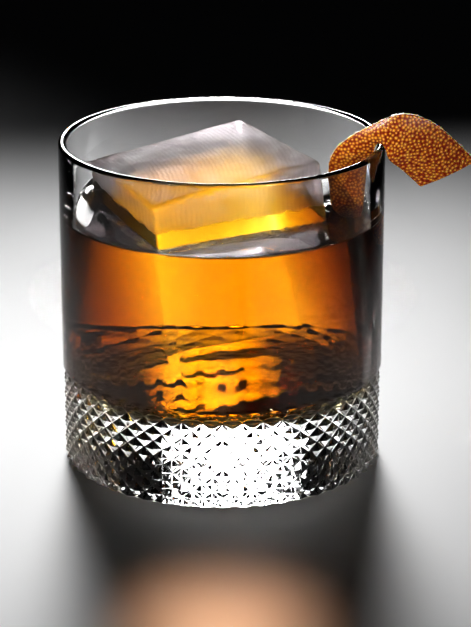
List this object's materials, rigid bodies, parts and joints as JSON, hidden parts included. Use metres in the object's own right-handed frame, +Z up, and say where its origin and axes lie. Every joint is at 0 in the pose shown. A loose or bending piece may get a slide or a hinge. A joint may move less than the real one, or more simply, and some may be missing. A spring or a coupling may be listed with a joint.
{
  "type": "old fashioned cocktail",
  "caption": "Short cocktail in a cut tumbler, with one large clear block of ice and a twist of orange peel on the rim.",
  "frame": {"origin": "centre of the tumbler's flat base, on the surface that it stands on", "axes": "+Z up along the tumbler's axis, -Y towards the side the peel's skin faces, +X towards the peel"},
  "size_m": [0.1119, 0.088, 0.0993],
  "materials": {
    "clear_crystal": "clear, polished, with cut facets round the base",
    "amber_drink": "clear amber liquid",
    "clear_ice": "clear, wet, lightly frosted where it was sawn",
    "orange_skin": "waxy skin with raised oil glands, pale pith on the back"
  },
  "bodies": {
    "root": {"tumbler": "clear_crystal", "drink": "amber_drink", "ice_block": "clear_ice", "orange_peel": "orange_skin"}
  },
  "joints": []
}
